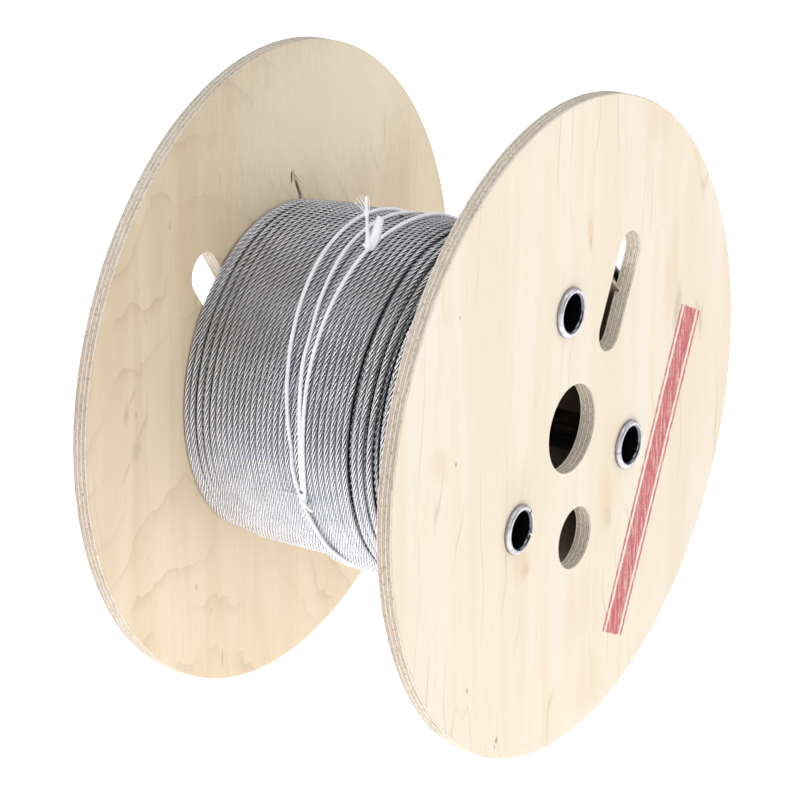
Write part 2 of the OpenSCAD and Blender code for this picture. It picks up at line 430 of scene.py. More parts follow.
def make_ply_group():
    tree, given, end = new_group("ply_edge", {"Vector": "Vector", "Normal": "Vector"},
                                 {"Edge": "Float", "Tone": "Float", "Glue": "Float",
                                  "Rough": "Float", "Rim": "Float", "Chips": "Float"})
    place = given["Vector"]
    # A face looks along X, a cut edge across it.
    along_x = calc(tree, "ABSOLUTE", split(tree, given["Normal"])[0])
    x = calc(tree, "ABSOLUTE", split(tree, place)[0])
    waver = calc(tree, "SUBTRACT", noise(tree, place, (0, 30, 30), 2), 0.5)
    ply = calc(tree, "MULTIPLY_ADD", calc(tree, "SUBTRACT", x, DISC_INSIDE), PLIES/DISC_THICK,
               product(tree, waver, 0.5))
    odd = calc(tree, "MODULO", calc(tree, "ABSOLUTE", calc(tree, "FLOOR", ply)), 2.0)
    glue = remap(tree, off_middle(tree, ply), 0.34, 0.46)
    torn = noise(tree, place, (700, 130, 130), 4, 0.7)
    # Long streaks on plies cut along the grain, pores on plies cut across it.
    rough = between(tree, odd, noise(tree, place, (2600, 240, 240), 3, 0.65),
                    noise(tree, place, (1500, 900, 900), 3, 0.7))
    cloud = noise(tree, place, (90, 26, 26), 3, 0.6)
    tone = calc(tree, "MULTIPLY_ADD", odd, ODD_PLY, product(tree, rough, FIBRE_SHARE))
    clouds = calc(tree, "SUBTRACT", product(tree, cloud, CLOUD_SHARE), TONE_DROP)
    tone = calc(tree, "ADD", tone, clouds, clamp=True)
    # Pores cut open are almost black on the torn side of a hole.
    chips = noise(tree, place, (1300, 420, 420), 3, 0.75)
    fill_sockets(tree, end, {
        "Edge": remap(tree, along_x, 0.60, 0.80, 1.0, 0.0),
        "Tone": tone,
        "Glue": product(tree, glue, remap(tree, torn, 0.36, 0.60, 0.40, 1.0)),
        "Rough": rough,
        "Rim": remap(tree, from_reel_axis(tree, place), RIM_FROM, RIM_FULL),
        "Chips": remap(tree, chips, 0.54, 0.66)})


make_ply_group()
print("ply edges:", PLIES, "plies on", round(DISC_THICK/MM, 1), "mm")

# %% [markdown]
# ## Colour band
#
# The outer face of the near disc is stencilled with a plain red band: a wide bar
# between two thin lines. It could be an image laid on the face, but three bars and a
# worn ink pattern are quickly drawn with nodes, and stay sharp from close by.

# %% Colour band
BAND_MIDDLE = (99, 139)
BAND_LEAN = 26.4
BAND_LONG = 206
# (place beside the middle line, width) of each bar, in mm
BAND_BARS = [(-12.3, 2.4), (0, 17.0), (12.3, 2.4)]
BLEED = 1.8*MM
LEAST_INK = 0.38
INK_RED = (0.53, 0.105, 0.13)


def band_mask(tree, place, towards_x):
    """A plain worn colour band, stencilled across the outer face of the near disc."""
    middle = (0, BAND_MIDDLE[0]*MM, BAND_MIDDLE[1]*MM)
    _, side, along = split(tree, leaned(tree, place, middle, math.radians(BAND_LEAN)))
    bleed = product(tree, calc(tree, "SUBTRACT", noise(tree, place, (0, 420, 420), 3), 0.5), BLEED)

    def inside(off_line, half, soft):
        edge = calc(tree, "ADD", calc(tree, "ABSOLUTE", off_line), bleed)
        return remap(tree, edge, (half - soft)*MM, (half + soft)*MM, 1.0, 0.0)

    inked = 0.0
    for beside, wide in BAND_BARS:
        bar = inside(calc(tree, "SUBTRACT", side, beside*MM), wide/2, 0.4)
        inked = calc(tree, "ADD", inked, bar)
    # The roller held too little ink: it is thin along the grain and dotted all over.
    wear = noise(tree, place, (0, 430, 60), 4, 0.7)
    speckle = noise(tree, place, (0, 1100, 800), 3, 0.7)
    held = remap(tree, calc(tree, "MULTIPLY_ADD", speckle, 0.6, wear), 0.62, 0.86)
    held = calc(tree, "MULTIPLY_ADD", held, 1 - LEAST_INK, LEAST_INK)
    return product(tree, inked, inside(along, BAND_LONG/2, 0.5), held,
                   remap(tree, towards_x, 0.8, 0.9))


print("colour band:", len(BAND_BARS), "bars of", BAND_LONG, "mm")

# %% [markdown]
# ## Plywood
#
# One recipe makes the finish of both discs. The face colour starts from a pale and a
# deep wood tone, mixed by the broad bands, then fine streaks, figure lines and mottle
# are laid over it. Stains, small knots and pin holes are soft spots with their own
# places. The near disc's tones are paler and the far disc's more yellow: painted light on the near
# face, painted shade on the far one.

# %% Plywood face
PORE = (0.34, 0.26, 0.18)


def spotted(tree, face, place, towards_x, marks):
    """Lays the marks over the face that looks along +X: each disc shows only that one."""
    this_face = remap(tree, towards_x, 0.2, 0.8)
    for mark in marks:
        (y, z), (wide, high) = mark["at"], mark["reach"]
        spot = use_group(tree, "soft_spot", {
            "Vector": place, "Centre": (0, y*MM, z*MM), "Lean": math.radians(mark["lean"]),
            "Reach": (1, wide*MM, high*MM), "Soft": mark["soft"]})
        mask = product(tree, spot["Mask"], this_face)
        face = tinted(tree, face, mark["colour"], mask, mark["strength"])
    return face


def veneer(tree, place, grain, tones, hairs, arches):
    """Colour of a bare face: tones are (pale, deep, line), arches (middle, strength)."""
    pale, deep, line = tones
    face = mixed(tree, remap(tree, grain["Bands"], 0.34, 0.70), pale, deep)
    face = tinted(tree, face, deep, remap(tree, grain["Mottle"], 0.46, 0.78), 0.45)
    face = tinted(tree, face, line, remap(tree, grain["Streaks"], 0.50, 0.78), 0.16)
    face = tinted(tree, face, line, grain["Hairs"], hairs)
    if arches:
        figure = use_group(tree, "veneer_arches", {"Vector": place, "Middle": arches[0]*MM})
        face = tinted(tree, face, line, figure["Arches"], arches[1])
    return tinted(tree, face, PORE, grain["Ticks"], 0.5)


print("face recipe ready")

# %% [markdown]
# The walls of the holes are paler than the rim: painted light in the holes. The rim is
# greyer, with dirt and painted shade, and paler towards its top and its bottom: painted light.

# %% Plywood edge and the whole recipe
# The pale edge is painted light where it shows in the holes; the grey edge is dirt and painted
# shade on the rim.
PALE_LIT_EDGE = (1.0, 0.92, 0.79), (0.64, 0.53, 0.405)
DUSTY_SHADED_EDGE = (0.82, 0.695, 0.58), (0.40, 0.325, 0.265)
GLUE_LINE, OPEN_PORE = (0.25, 0.18, 0.135), (0.17, 0.125, 0.09)


def cut_edge(tree, height, plies):
    """Colour of the cut plies, at this height above the floor."""
    pale_lit_edge = mixed(tree, plies["Tone"], *PALE_LIT_EDGE)
    worn = mixed(tree, plies["Tone"], *DUSTY_SHADED_EDGE)
    # Painted light: the rim is paler towards its top and its bottom, and its glue lines fade
    # towards the top.
    painted_light_by_height = calc(tree, "MAXIMUM", remap(tree, height, 0.16, 0.02, 0, 0.6),
                 remap(tree, height, 0.23, 0.35, 0, 0.95))
    edge = mixed(tree, plies["Rim"], pale_lit_edge, mixed(tree, painted_light_by_height, worn, pale_lit_edge))
    edge = tinted(tree, edge, GLUE_LINE, plies["Glue"], remap(tree, height, 0.24, 0.37, 0.85, 0.5))
    return tinted(tree, edge, OPEN_PORE, plies["Chips"], 0.75)


def make_plywood(name, tones, seed, hairs, marks, arches=None, banded=False):
    material, tree, shader = new_material(name, Roughness=0.62, Specular_IOR_Level=0.25)
    place = object_place(tree)
    normal = add_node(tree, "NewGeometry").outputs["Normal"]
    towards_x = split(tree, normal)[0]
    grain = use_group(tree, "veneer_grain", {"Vector": place, "Seed": seed})
    plies = use_group(tree, "ply_edge", {"Vector": place, "Normal": normal})
    face = veneer(tree, place, grain, tones, hairs, arches)
    face = spotted(tree, face, place, towards_x, marks)
    if banded:
        face = mixed(tree, band_mask(tree, place, towards_x), face, INK_RED)
    colour = mixed(tree, plies["Edge"], face, cut_edge(tree, split(tree, place)[2], plies))
    height = between(tree, plies["Edge"], product(tree, grain["Streaks"], 0.3),
                     calc(tree, "SUBTRACT", plies["Rough"], plies["Glue"]))
    colour_and_bump(tree, shader, colour, height, 0.6, 0.7*MM)
    return material


print("plywood recipe ready")

# %% Marks on the near disc
def mark(at, reach, colour, strength, lean=0, soft=0.8):
    """One stain: middle (y, z) and reach in mm on the face, lean in degrees."""
    return {"at": at, "reach": reach, "colour": colour, "strength": strength, "lean": lean,
            "soft": soft}


TAN, BROWN, GREY = (0.74, 0.56, 0.36), (0.36, 0.27, 0.18), (0.47, 0.40, 0.31)
KNOT_HEART, SOAKED = (0.60, 0.42, 0.26), (0.58, 0.41, 0.27)
NEAR_MARKS = [
    # knots and pin holes
    mark((-131.5, 222.8), (1.7, 2.2), BROWN, 0.8), mark((-118, 76.5), (1.6, 2.6), BROWN, 0.8),
    mark((-84.4, 31.0), (2.0, 2.8), BROWN, 0.9), mark((-86.2, 27.0), (1.2, 1.8), BROWN, 0.8),
    mark((-128, 310), (1.2, 2.0), BROWN, 0.7), mark((18.4, 318), (5.5, 17), TAN, 0.6, -4),
    mark((18.6, 311), (2.0, 6), KNOT_HEART, 0.4),
    # resin and dust beside the colour band
    mark((119, 262), (13, 52), TAN, 0.42, 5), mark((127.5, 235), (7, 23), GREY, 0.50, 8),
    mark((100, 370), (22, 30), TAN, 0.30),
    # stains round the lowest tube and the drive hole
    mark((-62, 186), (26, 17), TAN, 0.22), mark((-57, 134), (15, 17), TAN, 0.50, 12),
    mark((-52, 128), (6, 7), SOAKED, 0.35), mark((42, 140), (15, 30), TAN, 0.42, -6),
    mark((45, 128), (6, 13), GREY, 0.28, -10), mark((9, 82), (24, 34), TAN, 0.28, 8),
    mark((-148, 228), (12, 18), TAN, 0.38, -35), mark((20, 25), (26, 24), TAN, 0.25),
]
print("near disc:", len(NEAR_MARKS), "marks")

# %% Marks on the far disc
PALE_PAINTED_LIGHT = (0.98, 0.87, 0.69)
CRACK, CRACK_FOOT = (0.10, 0.07, 0.045), (0.16, 0.11, 0.07)
FAR_MARKS = [
    # damp smudges that follow the arches, left of the winding
    mark((-159.7, 218.3), (3.2, 9), GREY, 0.50, 8), mark((-153.5, 227), (2.6, 10), GREY, 0.34, 38),
    mark((-151.2, 193.5), (8, 10), GREY, 0.34, 10), mark((-143, 206), (2.4, 12), GREY, 0.34, 38),
    mark((-160.4, 183), (2.4, 12), GREY, 0.30, 38),
    # a pale patch above the winding, painted light; a yellow one on the left
    mark((70, 350), (170, 84), PALE_PAINTED_LIGHT, 0.8), mark((-98, 300), (34, 40), TAN, 0.16),
    # knots and short cracks
    mark((-92.5, 83), (0.9, 3.2), BROWN, 0.85), mark((-77, 62), (1.0, 2.4), BROWN, 0.5, 20),
    mark((-66, 25), (0.8, 9), BROWN, 0.6, 4), mark((-150, 215), (1.0, 3.0), BROWN, 0.6),
    mark((-112, 321), (0.9, 4), BROWN, 0.6), mark((-87, 267), (0.8, 4), BROWN, 0.5),
    mark((-60, 335), (0.7, 5), BROWN, 0.5), mark((122, 316), (2.0, 16), TAN, 0.45),
    # the tear, with its dark cracks
    mark((16.4, 314.6), (1.3, 5.2), CRACK, 0.95, 2, 0.5),
    mark((22.4, 306.5), (1.2, 8.5), CRACK, 0.9, -24, 0.5),
    mark((25.4, 300.2), (2.2, 4.4), CRACK_FOOT, 0.8, -10, 0.7),
]
print("far disc:", len(FAR_MARKS), "marks")

# %% Plywood of the two discs
# (pale, deep, line) tones of the face
# Paler tones on the near disc are painted light, the more yellow ones on the far disc painted
# shade.
NEAR_TONES = (0.83, 0.752, 0.645), (0.80, 0.692, 0.54), (0.58, 0.45, 0.34)
FAR_TONES = (0.835, 0.715, 0.54), (0.765, 0.632, 0.45), (0.58, 0.42, 0.28)
plywood_near = make_plywood("plywood_near", NEAR_TONES, seed=0.0, hairs=0.66, marks=NEAR_MARKS,
                            banded=True)
plywood_far = make_plywood("plywood_far", FAR_TONES, seed=3.7, hairs=0.20, marks=FAR_MARKS,
                           arches=(-103, 0.44))
dress(nodes["flange_near"], plywood_near)
dress(nodes["flange_far"], plywood_far)
print("plywood on both discs")

# %% [markdown]
# ## Torn veneer
#
# Above the winding the face veneer of the far disc is torn: a narrow dark crack, and
# pale splinters that stand up beside it. Each splinter is a thin wedge: a box whose
# far end is pinched together, laid along the tear and lifted at its tip.

# %% Splinters
SPLINTER_THICK = 0.5*MM
SPLINTER_SUNK = 0.2*MM
TIP_PINCH = (0.25, 0.15, 1)
# (root (y, z), tip (y, z), width, lift of the tip), in mm
SPLINTERS = [((18.0, 318.2), (27.4, 306.6), 1.7, 2.2), ((19.6, 313.0), (26.0, 303.6), 1.1, 1.4),
             ((21.8, 315.0), (29.4, 309.4), 0.9, 2.6), ((23.0, 307.6), (26.6, 299.6), 1.0, 0.8)]


def select_facing(obj, share):
    """In edit mode, selects only the faces that look one way: share(normal) is nearly 1."""
    bpy.ops.mesh.select_mode(type="FACE")
    bpy.ops.mesh.select_all(action="DESELECT")
    bpy.ops.object.mode_set(mode="OBJECT")
    for face in obj.data.polygons:
        face.select = share(face.normal) > 0.9
    bpy.ops.object.mode_set(mode="EDIT")


def make_splinter(name, root, tip, wide, lift):
    """Pale wedge on the far disc's inner face, from root to tip."""
    bpy.ops.object.select_all(action="DESELECT")
    run = Vector((0, tip[0] - root[0], tip[1] - root[1]))*MM
    bpy.ops.mesh.primitive_cube_add(size=1)
    splinter = bpy.context.object
    splinter.name = name
    bpy.ops.object.mode_set(mode="EDIT")
    bpy.ops.transform.resize(value=(SPLINTER_THICK, wide*MM, run.length))
    bpy.ops.transform.translate(value=(0, 0, run.length/2))
    select_facing(splinter, lambda normal: normal.z)
    bpy.ops.transform.resize(value=TIP_PINCH)
    bpy.ops.transform.translate(value=(lift*MM, 0, 0))
    bpy.ops.object.mode_set(mode="OBJECT")
    splinter.rotation_euler = (math.atan2(-run.y, run.z), 0, 0)
    splinter.location = (-DISC_INSIDE + SPLINTER_SUNK, root[0]*MM, root[1]*MM)
    bpy.ops.object.transform_apply(location=True, rotation=True, scale=True)
    return splinter


splinters = [make_splinter("splinter_%d" % n, *row) for n, row in enumerate(SPLINTERS, 1)]
for splinter in splinters:
    dress(splinter, plywood_far)
    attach(splinter, "root")
print("splinters:", len(splinters))

# %% [markdown]
# ## Fibreboard barrel
#
# The barrel is a tube of wound grey board. Little of it shows, through the holes and
# the slots: a fuzzy brown-grey wall. Its inside is painted dark: painted shade deep in the tube.

# %% Fibreboard
BARREL_WALL = 2.5*MM
BOARD_DARK, BOARD_LIGHT = (0.36, 0.31, 0.24), (0.56, 0.50, 0.40)
BOARD_INSIDE_SHADE = (0.23, 0.18, 0.135)


def make_fibreboard():
    material, tree, shader = new_material("fibreboard", Roughness=0.85)
    place = object_place(tree)
    fuzz = noise(tree, place, (900, 700, 700), 4, 0.7)
    cloud = noise(tree, place, (30, 30, 30), 3, 0.6)
    tone = calc(tree, "ADD", product(tree, fuzz, 0.5), product(tree, cloud, 0.5))
    board = mixed(tree, remap(tree, tone, 0.3, 0.7), BOARD_DARK, BOARD_LIGHT)
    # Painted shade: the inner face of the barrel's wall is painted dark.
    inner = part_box("barrel")[1].y - BARREL_WALL
    inside = remap(tree, from_reel_axis(tree, place), inner + 0.2*MM, inner + 1.0*MM, 1.0, 0.0)
    colour_and_bump(tree, shader, mixed(tree, inside, board, BOARD_INSIDE_SHADE), fuzz, 0.4, 0.3*MM)
    return material


dress(nodes["barrel"], make_fibreboard())
print("board on the barrel")

# %% [markdown]
# ## Rolled steel tubes
#
# Each tube is a strip of zinc-plated steel, rolled up with an open seam, its ends
# curled over the plywood. The top of the curl is bright steel, with fine scratches that
# run round it. Its flank and the bore are painted dark: painted shade under the curl and inside
# the tube.

# %% Steel
# Dark up to the first place, bright from the second: along the reel, and from a tube's middle.
LIP_DARK_TO, LIP_BRIGHT_FROM = 108.2*MM, 111.8*MM
BORE_DARK_TO, BORE_BRIGHT_FROM = 11.9*MM, 12.8*MM
BARE_STEEL = (0.68, 0.67, 0.72), (0.50, 0.49, 0.53)
PAINTED_SHADE_STEEL = (0.16, 0.165, 0.185)
TUBES = ["tie_tube_1", "tie_tube_2", "tie_tube_3"]


def make_tube_steel():
    material, tree, shader = new_material("tube_steel", Metallic=1.0)
    place = object_place(tree)
    x = calc(tree, "ABSOLUTE", split(tree, place)[0])
    # Painted shade: dark on the curl's flank and in the bore.
    dark = remap(tree, x, LIP_DARK_TO, LIP_BRIGHT_FROM, 1.0, 0.0)
    flat = add_node(tree, "Mapping", {"Vector": place, "Scale": (0, 1, 1)}).outputs[0]
    for name in TUBES:
        low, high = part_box(name)
        away = distance(tree, flat, (0, (low.y + high.y)/2, (low.z + high.z)/2))
        bore = remap(tree, away, BORE_DARK_TO, BORE_BRIGHT_FROM, 1.0, 0.0)
        dark = calc(tree, "MAXIMUM", dark, bore)
    cloud = noise(tree, place, (200, 200, 200), 3, 0.6)
    bright = mixed(tree, remap(tree, cloud, 0.35, 0.7), *BARE_STEEL)
    rough = between(tree, dark, remap(tree, cloud, 0.3, 0.7, 0.38, 0.50), 0.24)
    fill_sockets(tree, shader, {"Roughness": rough})
    scratch = noise(tree, place, (2600, 300, 300), 3, 0.6)
    colour_and_bump(tree, shader, mixed(tree, dark, bright, PAINTED_SHADE_STEEL), scratch, 0.12, 0.1*MM)
    return material


tube_steel = make_tube_steel()
for name in TUBES:
    dress(nodes[name], tube_steel)
print("steel on", len(TUBES), "tubes")

# %% [markdown]
# ## Wire rope: how a winding is made
#
# A wire rope is six strands laid round a core like the grooves of a screw, right-hand
# laid here, one full twist every 26 mm or so. Modelled as six tubes it would cost too
# many faces for a hundred metres, so its cross-section is one outline with six rounded
# lobes, swept along the winding and twisted as it goes. The grooves between the lobes
# are marked sharp, because a smooth groove would catch as much light as a crown.
# The path is a helix round the barrel. No modelling operator sweeps and twists a
# section this long with an even lay, so the points are computed, ring by ring.

# %% Sweep helper
def length_along(points):
    """Length of a path from its start to each of its points."""
    return np.concatenate([[0], np.cumsum(np.linalg.norm(np.diff(points, axis=0), axis=1))])


def unit_rows(vectors):
    """The same directions, each with length 1."""
    return vectors/np.linalg.norm(vectors, axis=1)[:, None]


def swept_mesh(name, centres, out, radii, twist, scale=None, along=None, groove_every=0):
    """Tube of rings along a path. radii are a ring's outline, twist turns each ring,
    scale shrinks rings towards a closed end, and every so many points a sharp groove
    runs along. The UV maps have the length in U and the turn round the tube in V:
    'strands' turns with the outline, 'wires' stands still."""
    centres = np.asarray(centres, float)
    count, sides = len(centres), len(radii)
    tangent = unit_rows(np.gradient(centres, axis=0))
    out = np.asarray(out, float)
    out = unit_rows(out - (out*tangent).sum(1)[:, None]*tangent)
    side = np.cross(tangent, out)
    scale = np.ones(count) if scale is None else np.asarray(scale, float)
    angle = 2*math.pi*np.arange(sides)[None, :]/sides + np.asarray(twist, float)[:, None]
    reach = np.asarray(radii, float)[None, :]*scale[:, None]
    points = (centres[:, None, :] + (reach*np.cos(angle))[..., None]*out[:, None, :]
              + (reach*np.sin(angle))[..., None]*side[:, None, :]).reshape(-1, 3)
    ring, step = np.meshgrid(np.arange(count - 1), np.arange(sides), indexing="ij")
    after = (step + 1) % sides
    walls = np.stack([ring*sides + step, ring*sides + after, (ring + 1)*sides + after,
                      (ring + 1)*sides + step], -1).reshape(-1, 4)
    last = (count - 1)*sides
    caps = [list(range(sides))[::-1], list(range(last, last + sides))]
    mesh = bpy.data.meshes.new(name)
    mesh.from_pydata(points.tolist(), [], walls.tolist() + caps)
    along = length_along(centres) if along is None else along
    turns = np.asarray(twist, float)/(2*math.pi)
    corner_ring = np.stack([ring, ring, ring + 1, ring + 1], -1).reshape(-1)
    corner_step = np.stack([step, step + 1, step + 1, step], -1).reshape(-1)/sides
    for label, drift in (("strands", 0.0), ("wires", 1.0)):
        flat = np.zeros((len(mesh.loops), 2), np.float32)
        flat[:len(corner_ring), 0] = along[corner_ring]
        flat[:len(corner_ring), 1] = corner_step + drift*turns[corner_ring]
        mesh.uv_layers.new(name=label).data.foreach_set("uv", flat.ravel())
    mesh.polygons.foreach_set("use_smooth", [True]*len(walls) + [False]*2)
    if groove_every:
        ends = np.zeros(len(mesh.edges)*2, np.int32)
        mesh.edges.foreach_get("vertices", ends)
        ends = np.sort(ends.reshape(-1, 2), axis=1)
        groove = (ends[:, 1] - ends[:, 0] == sides) & (ends[:, 0] % sides % groove_every == 0)
        mesh.attributes.new("sharp_edge", "BOOLEAN", "EDGE").data.foreach_set("value", groove)
    obj = bpy.data.objects.new(name, mesh)
    bpy.context.scene.collection.objects.link(obj)
    return obj


print("sweep helper ready")

# %% Places on the winding
def round_reel(angle, radius, x):
    """Points at these clock angles from the top towards the camera's side, and the outward
    direction there. Angles in degrees, lengths in metres, as arrays."""
    a = np.radians(np.asarray(angle, float))
    out = np.stack([np.zeros_like(a), -np.sin(a), np.cos(a)], -1)
    places = np.asarray(radius, float)[..., None]*out
    places[..., 0] += x
    places[..., 2] += AXIS_Z
    return places, out


def smooth_step(value):
    """Rises softly from 0 to 1 as the value does."""
    value = np.clip(value, 0, 1)
    return value*value*(3 - 2*value)


print("45 degrees round at 0.1 m:", round_reel([45], [0.1], 0)[0].round(3).tolist())

# %% [markdown]
# The rope lies in three full layers. A fourth covers only the half towards the near
# disc, and its end is what the twine holds down. On the left the turns touch. On the
# right the last layer was laid on by hand, with gaps through which the layer below
# shows. Each layer hangs a little lower than the one under it, because a winding
# slackens from the outside inwards. At the far disc the end turns of the third layer
# have sunk between the turns below.

# %% Rope section and layers
ROPE_D = 4.0*MM
ROPE_LAY = 26.5*MM
STRANDS = 6
GROOVE, FLANK, CROWN = 1.12*MM, 1.86*MM, 2.0*MM
LOBED = [GROOVE, FLANK, CROWN, FLANK]*STRANDS
COARSE = [1.30*MM, 2.0*MM]*STRANDS
LAYER_SAG = 0.7*MM
FIRST_ANGLE = 65
TOP = 3
FIRST_LAYER_R, LAYER_RISE = 97.3*MM, 3.374*MM
LAST_PLACE = 96.7*MM
# (depth, where it starts, over what length) of the two places where turns have sunk in
FAR_END_SUNK = (2.6*MM, -70*MM, 27*MM)
LOOSE_HALF_SUNK = (0.8*MM, 16*MM, 10*MM)
# Tables of (turn number, place of its middle in mm), all read at FIRST_ANGLE.
THIRD_LAYER = [(-0.5, -96.7), (0, -96.7), (1, -92.2), (2, -86.6), (3, -81.0), (4, -76.0),
               (5, -71.6), (21, -7.1), (46, 96.7), (46.5, 96.7)]
THIRD_SHOWS_TO = 21
TOP_LAYER = [(-0.8, -17.8), (0, -14.2), (1, -10.2), (2, -6.1), (3, -2.0), (4, 2.3), (5, 6.5),
             (6, 10.6), (7, 14.7), (8, 18.7), (9, 25.6), (10, 29.6), (11, 35.7), (12, 44.8),
             (13, 48.3), (14, 52.0), (15, 57.0), (17, 66.0), (19, 76.5), (21, 86.0),
             (23, 94.5), (23.5, 94.5)]
print("third layer to turn", THIRD_LAYER[-1][0], "- top layer to turn", TOP_LAYER[-1][0])

# %% Rope path
# Turns wander together, as one pushes the next: (reach in mm, waves a round, drift a
# turn, start), in degrees. Each also lies a little high or low: (reach, waves, start).
WANDER = [(0.18, 2, 0, 40), (0.12, 5, 9, 0)]
WOBBLE = [(0.10, 17.3, 0), (0.08, 5.1, 1)]


def layer_r(layer):
    """Radius of a layer's middle, counted from 0 at the barrel: each lies in valleys."""
    return FIRST_LAYER_R + LAYER_RISE*layer


def layer_dip(layer, x):
    """How far a layer has sunk in at x: the far end of the third, the loose half of the top."""
    if layer == TOP - 1:
        deep, start, run = FAR_END_SUNK
        return deep*smooth_step((start - x)/run)
    deep, start, run = LOOSE_HALF_SUNK
    return deep*smooth_step((x - start)/run) if layer == TOP else 0*x


def rope_path(places, layer, step, first=None, last=None):
    """Centres and outward directions of a helix through a table of turn places."""
    numbers, middles = np.array(places).T
    first = numbers[0] if first is None else first
    last = numbers[-1] if last is None else last
    count = int(round((last - first)*2*math.pi*layer_r(layer)/step)) + 1
    turn = np.linspace(first, last, count)
    angle = FIRST_ANGLE - 360*turn
    x = np.interp(turn, numbers, middles)
    for reach, waves, drift, start in WANDER:
        x = x + reach*np.sin(np.radians(angle*waves + turn*drift + start))
    x = np.clip(x*MM, -LAST_PLACE, LAST_PLACE)
    wobble = sum(reach*MM*np.sin(turn*waves + start) for reach, waves, start in WOBBLE)
    centres, out = round_reel(angle, layer_r(layer) - layer_dip(layer, x) + wobble, x)
    centres[:, 2] -= LAYER_SAG*layer
    return centres, out


print("layer radii in mm:", [round(layer_r(n)/MM, 1) for n in range(TOP + 1)])

# %% Outer layers
# From ring to ring, as a part of one full twist
FINE_STEP, COARSE_STEP = ROPE_LAY/14, ROPE_LAY/6


def make_rope_layer(name, places, layer, step, section, parts=1, first=None, last=None):
    """One layer as a few pieces end to end, each small enough to stay a light mesh."""
    centres, out = rope_path(places, layer, step, first, last)
    along = length_along(centres)
    twist = 2*math.pi*along/ROPE_LAY
    made = []
    cuts = np.linspace(0, len(centres) - 1, parts + 1).astype(int)
    for number, (a, b) in enumerate(zip(cuts[:-1], cuts[1:]), 1):
        part = slice(a, b + 1)
        made.append(swept_mesh("%s_%d" % (name, number), centres[part], out[part], section,
                               twist[part], along=along[part],
                               groove_every=len(section)//STRANDS if section is LOBED else 0))
    print(name, "%.1f m," % along[-1], sum(len(o.data.polygons) for o in made)*2, "triangles")
    return made


rope_pieces = make_rope_layer("rope_top", TOP_LAYER, TOP, FINE_STEP, LOBED, parts=3)
rope_pieces += make_rope_layer("rope_third", THIRD_LAYER, TOP - 1, FINE_STEP, LOBED, parts=3,
                               last=THIRD_SHOWS_TO)
rope_pieces += make_rope_layer("rope_third_covered", THIRD_LAYER, TOP - 1, COARSE_STEP, COARSE,
                               first=THIRD_SHOWS_TO)

# %% [markdown]
# ## What lies under the outer layers
#
# Between loose turns and through the finger slots the lower layers show. They only
# need stranded rope where an eye can reach: the second layer next to both discs, and
# the first layer's end turns. Further in, two plain turned rings fill the winding.

# %% Lower layers
SECOND_PITCH = 4.298
# (name, layer, place of the turn beside a disc in mm, turns kept at the near and far disc)
LOWER_LAYERS = [("rope_second", 1, 94.55, 2, 7), ("rope_first", 0, 96.7, 2, 2)]


def end_turns(side, start, count):
    """Table of turns that start flat against a disc and go inwards."""
    table = [(0, start), (0.5, start), (0.5 + count, start - count*SECOND_PITCH)]
    return [(turn, side*x) for turn, x in table]


for label, layer, start, near_count, far_count in LOWER_LAYERS:
    for end, side, count in (("near", 1, near_count), ("far", -1, far_count)):
        rope_pieces += make_rope_layer("%s_%s" % (label, end), end_turns(side, start, count),
                                       layer, COARSE_STEP, COARSE)

# %% Cores
CORE_BORE = 95.2*MM
CORE_SIDES = 120
# name: (start, end, radius, drop below the axis)
CORES = {"rope_core": (-67*MM, 92*MM, 101.8*MM, LAYER_SAG),
         "rope_core_far": (-92*MM, -67*MM, 98.6*MM, LAYER_SAG/2)}


def make_rope_core(name, start, end, radius, drop):
    """A buried part of the winding, turned to size: a closed ring round the barrel."""
    bpy.ops.object.select_all(action="DESELECT")
    bpy.ops.mesh.primitive_cylinder_add(vertices=CORE_SIDES, radius=radius, depth=end - start,
                                        location=((start + end)/2, 0, AXIS_Z - drop),
                                        rotation=(0, math.pi/2, 0))
    core = bpy.context.object
    core.name = name
    bpy.ops.object.transform_apply(location=True, rotation=True, scale=True)
    # The ends are inset to the bore's size and bridged through, which drills the ring.
    bpy.ops.object.mode_set(mode="EDIT")
    select_facing(core, lambda normal: abs(normal.x))
    bpy.ops.mesh.inset(thickness=radius - (CORE_BORE + drop))
    bpy.ops.mesh.bridge_edge_loops()
    bpy.ops.object.mode_set(mode="OBJECT")
    bpy.ops.object.shade_smooth_by_angle(angle=math.radians(30))
    return core


rope_cores = [make_rope_core(name, *row) for name, row in CORES.items()]
print("cores:", sum(len(o.data.polygons) for o in rope_cores), "faces")

# %% [markdown]
# ## Zinc on the wires
#
# Hot-dip zinc is a soft grey metal, not a mirror. The grooves between the strands are
# painted dark: dirt, and painted shade. The single wires are finer than the mesh: they
# are bump lines that run almost along the rope, because in a regular lay rope the wires
# are twisted against the strands.
# The rope and the twine share two effects, so these are node groups: the valleys
# between strands or yarns, counted round the tube, and a few black spots of painted shade at the
# hitch.

# %% Valley and grease groups
# Painted shade at the hitch, in the gap between its lines and under its short end: (angle,
# place, height over the top layer's middle, reach), in degrees and mm
HITCH_SHADE_SPOTS = [(104.0, -11.4, 3.5, 1.8), (108.9, -10.6, 3.4, 1.2), (110.2, -9.8, 3.4, 1.4),
          (111.5, -8.9, 3.2, 1.6)]
PAINTED_SHADE_BLACK = (0.035, 0.03, 0.03)
SHADE_SPOT_THICK, SHADE_SPOT_CORE = 0.92, 0.65


def make_valley_group():
    """0 on the crown of a strand or yarn, 0.5 in the groove beside it."""
    tree, given, end = new_group("strand_valleys", {"UV": "Vector", "Strands": "Float"},
                                 {"Valley": "Float"})
    turn = product(tree, split(tree, given["UV"])[1], given["Strands"])
    fill_sockets(tree, end, {"Valley": off_middle(tree, turn)})


